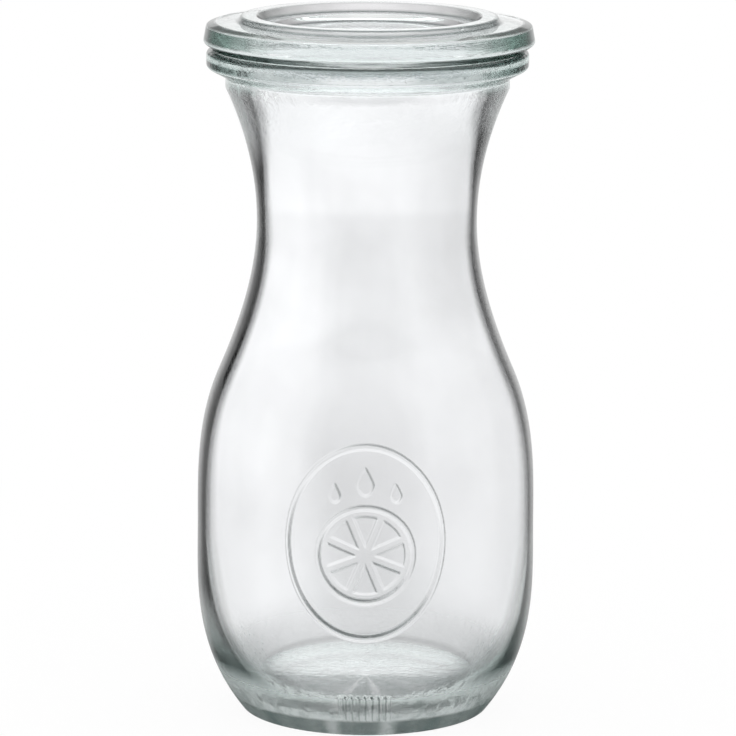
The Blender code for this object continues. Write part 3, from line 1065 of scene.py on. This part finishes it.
def makeRoom():
    world = bpy.data.worlds.new("studio")
    bpy.context.scene.world = world
    world.use_nodes = True
    tree = world.node_tree
    tree.nodes.clear()

    def maths(operation, *values):
        return mathNode(tree, operation, *values)

    def ramp(value, stops, low, high):
        return levelRamp(tree, value, stops, low, high)

    way = tree.nodes.new("ShaderNodeTexCoord").outputs["Generated"]
    x, y, z = newNode(tree, "ShaderNodeSeparateXYZ", {0: way}).outputs
    bearing = maths("DEGREES", maths("ARCTAN2", x, y))  # 0 is straight behind, for the photograph's view
    elevation = maths("DEGREES", maths("ARCSINE", z))
    spacing = 360 / studio["panels"]
    fromPanel = maths("PINGPONG", bearing, spacing / 2)
    full, past = studio["panelEdges"]
    between = studio["between"]
    stops = [(0, 1), (full, 1), (past, between), (spacing / 2, between)]
    panels = ramp(fromPanel, stops, 0, spacing / 2)
    cloth = mixLevels(tree, ramp(elevation, studio["panelRise"], -90, 90), 1.0, panels)
    through = maths("MULTIPLY", cloth, ramp(elevation, studio["through"], -90, 90))
    frontStart, frontFull = studio["frontEdges"]
    front = ramp(maths("ABSOLUTE", bearing), [(0, 0), (frontStart, 0), (frontFull, 1), (180, 1)], 0, 180)
    side = ramp(elevation, studio["mirrored"], -90, 90)
    side = maths("MULTIPLY", side, ramp(bearing, studio["mirroredRound"], -180, 180))
    mirrored = mixLevels(tree, front, side, ramp(elevation, studio["mirroredFront"], -90, 90))
    for box in studio["boxes"]:
        across = maths("ABSOLUTE", maths("SUBTRACT", bearing, box["bearing"]))
        up = maths("ABSOLUTE", maths("SUBTRACT", elevation, box["rise"]))
        spread = [(0, 1), (box["wide"] * studio["fullWidth"], 1), (box["wide"], 0), (180, 0)]
        height = [(0, 1), (box["tall"] * studio["fullHeight"], 1), (box["tall"], 0), (180, 0)]
        glow = maths("MULTIPLY", ramp(across, spread, 0, 180), ramp(up, height, 0, 180))
        lit = maths("ADD", mirrored, maths("MULTIPLY", glow, box["level"]))
        mirrored = maths("MAXIMUM", lit, studio["darkest"])
    path = tree.nodes.new("ShaderNodeLightPath").outputs
    inGlass = mixLevels(tree, path["Is Reflection Ray"], through, mirrored)
    direct = maths("MAXIMUM", path["Is Camera Ray"], path["Is Diffuse Ray"])
    values = {"Color": (1, 1, 1, 1), "Strength": mixLevels(tree, direct, inGlass, 1.0)}
    background = newNode(tree, "ShaderNodeBackground", values)
    newNode(tree, "ShaderNodeOutputWorld", {"Surface": background.outputs[0]})


def makeFloor():
    half = studio["floorSize"] / 2
    mesh = bpy.data.meshes.new("studio_floor")
    corners = [(-half, -half, 0), (half, -half, 0), (half, half, 0), (-half, half, 0)]
    mesh.from_pydata(corners, [], [(0, 1, 2, 3)])
    floor = placed("studio_floor", mesh)
    floor.location.z = -studio["floorDrop"]
    material = bpy.data.materials.new("studio_floor_white")
    material.use_nodes = True
    tree = material.node_tree
    tree.nodes.clear()
    # paper that takes a little shadow near the bottle, and plain white light further out
    reach = newNode(tree, "ShaderNodeVectorMath", {0: ownPlace(tree)}, operation="LENGTH")
    near, far = studio["floorFade"]
    stops = [(0, studio["floorShade"]), (near, studio["floorShade"]), (far, 0), (1, 0)]
    share = levelRamp(tree, reach.outputs["Value"], stops)
    light = tree.nodes.new("ShaderNodeEmission")
    paper = newNode(tree, "ShaderNodeBsdfDiffuse", {"Color": (1, 1, 1, 1)})
    mixed = newNode(tree, "ShaderNodeMixShader", {"Fac": share, 1: light.outputs[0], 2: paper.outputs[0]})
    # what is seen or mirrored in the glass is the tent, as if there were no floor
    path = tree.nodes.new("ShaderNodeLightPath").outputs
    inGlass = mathNode(tree, "MAXIMUM", path["Is Glossy Ray"], path["Is Transmission Ray"])
    clear = tree.nodes.new("ShaderNodeBsdfTransparent")
    shown = newNode(tree, "ShaderNodeMixShader", {"Fac": inGlass, 1: mixed.outputs[0], 2: clear.outputs[0]})
    newNode(tree, "ShaderNodeOutputMaterial", {"Surface": shown.outputs[0]})
    mesh.materials.append(material)


# Camera

def makeCamera():
    data = bpy.data.cameras.new("eye")
    data.sensor_width = eye["sensor"]
    data.lens = eye["lens"]
    data.clip_start = eye["nearest"]
    camera = placed("eye", data)
    tilt = math.radians(eye["elevation"])
    aim = Vector((eye["aimAside"], 0, eye["aimHeight"]))
    back = Vector((0, -math.cos(tilt), math.sin(tilt)))
    camera.location = aim + back * eye["distance"]
    facing = (-back).to_track_quat("-Z", "Y").to_matrix().to_4x4()
    roll = Matrix.Rotation(math.radians(eye["roll"]), 4, "Z")
    camera.rotation_euler = (facing @ roll).to_euler()
    bpy.context.scene.camera = camera


makeCamera()
makeRoom()
makeFloor()
print("studio ready")

body = makeBottle()
body.data.materials.append(glassMaterial("bottle_clear_glass", bottleTintAndShade, bottleGlass))
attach(body, "bottle")
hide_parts("bottle")
print("bottle made:", len(body.data.vertices), "points")

cap = makeLid()
cap.data.materials.append(glassMaterial("lid_clear_glass", lidTintAndShade, lidGlass))
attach(cap, "lid")
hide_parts("lid")
print("lid made:", len(cap.data.vertices), "points")

bpy.context.scene.view_settings.view_transform = "Standard"
